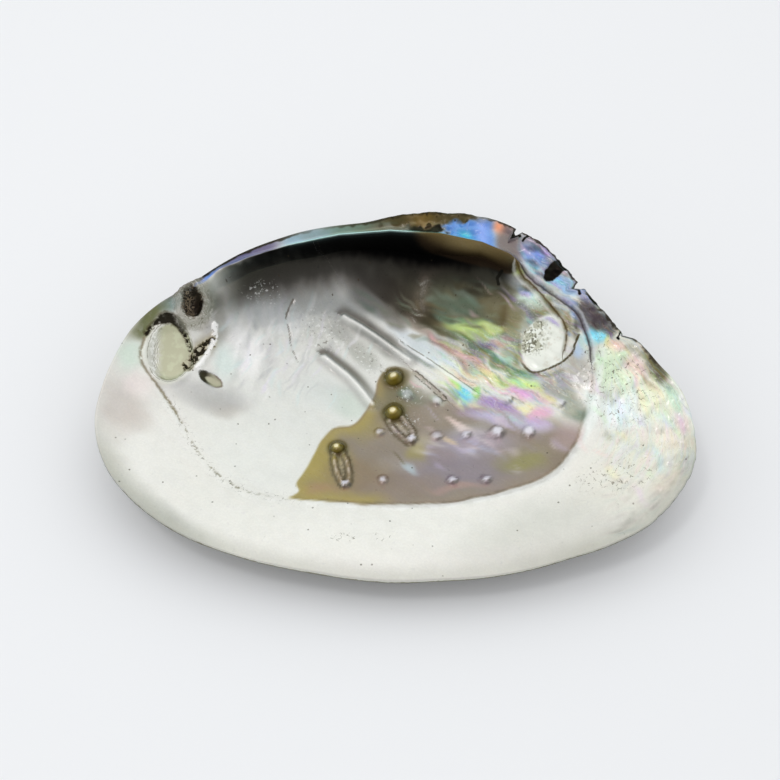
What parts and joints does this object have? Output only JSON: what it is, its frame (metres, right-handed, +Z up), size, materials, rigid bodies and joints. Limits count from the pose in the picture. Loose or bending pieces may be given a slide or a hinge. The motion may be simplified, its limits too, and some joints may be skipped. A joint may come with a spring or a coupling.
{
  "type": "freshwater pearl mussel shell valve",
  "caption": "Single mussel shell half lying hollow side up, with a long hinge tooth, two muscle scars, blister pearls in the bowl and a chipped wing.",
  "frame": {"origin": "on the ground, under the middle of the shell's bounding box", "axes": "+X towards the wing end of the shell, +Y towards the hinge, +Z up; the hollow side faces up"},
  "size_m": [0.1682, 0.113, 0.035],
  "materials": {
    "nacre": "gloss"
  },
  "bodies": {
    "root": {"shell_valve": "nacre"}
  },
  "joints": []
}
